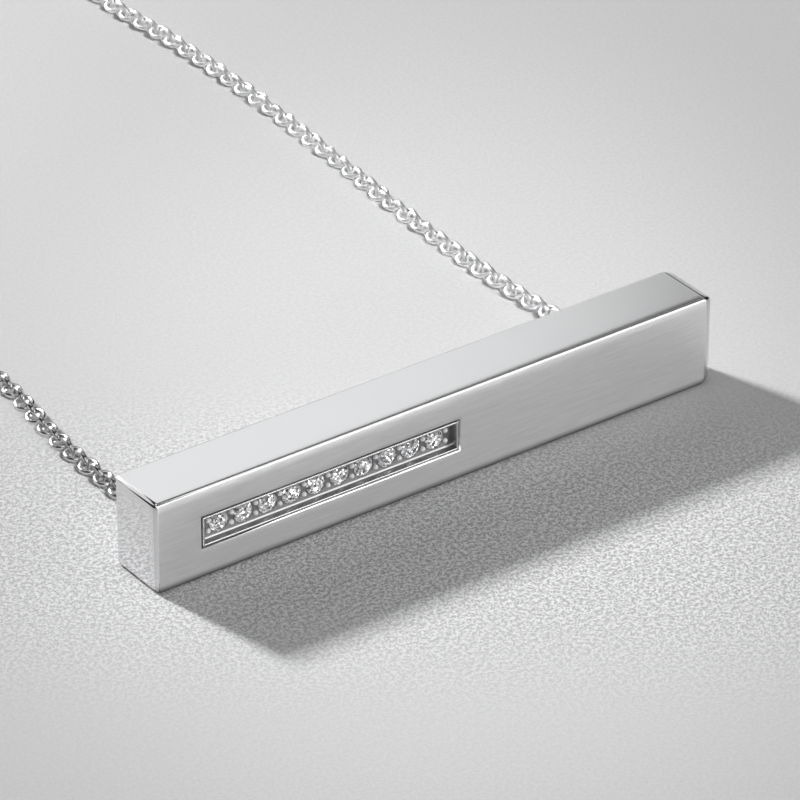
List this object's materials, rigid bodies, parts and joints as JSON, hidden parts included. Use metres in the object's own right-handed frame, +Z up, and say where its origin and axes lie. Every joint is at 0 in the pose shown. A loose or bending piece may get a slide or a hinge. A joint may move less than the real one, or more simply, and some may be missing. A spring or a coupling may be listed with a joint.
{
  "type": "bar pendant necklace",
  "caption": "Slim rectangular bar pendant with a recessed row of small round stones, on a fine round-link chain that leaves its back and closes in a loop with a barrel clasp.",
  "frame": {"origin": "centre of the long side that the bar rests on, on the surface", "axes": "+Z up, the stone-set face towards -Y, the chain's loop towards +Y, +X along the bar from the end with the stones to the plain end"},
  "size_m": [0.0751, 0.1933, 0.0053],
  "materials": {
    "brushed_metal": "brushed lengthwise on the front face, satin on top, polished ends",
    "bright_metal": "polished",
    "stone": "clear, brilliant cut"
  },
  "bodies": {
    "root": {"bar": "brushed_metal", "stone_tray": "bright_metal", "stone_01": "stone", "stone_02": "stone", "stone_03": "stone", "stone_04": "stone", "stone_05": "stone", "stone_06": "stone", "stone_07": "stone", "stone_08": "stone", "stone_09": "stone", "stone_10": "stone", "jump_ring_left": "bright_metal", "jump_ring_right": "bright_metal", "chain_left": "bright_metal", "chain_right": "bright_metal", "clasp": "bright_metal"}
  },
  "joints": []
}
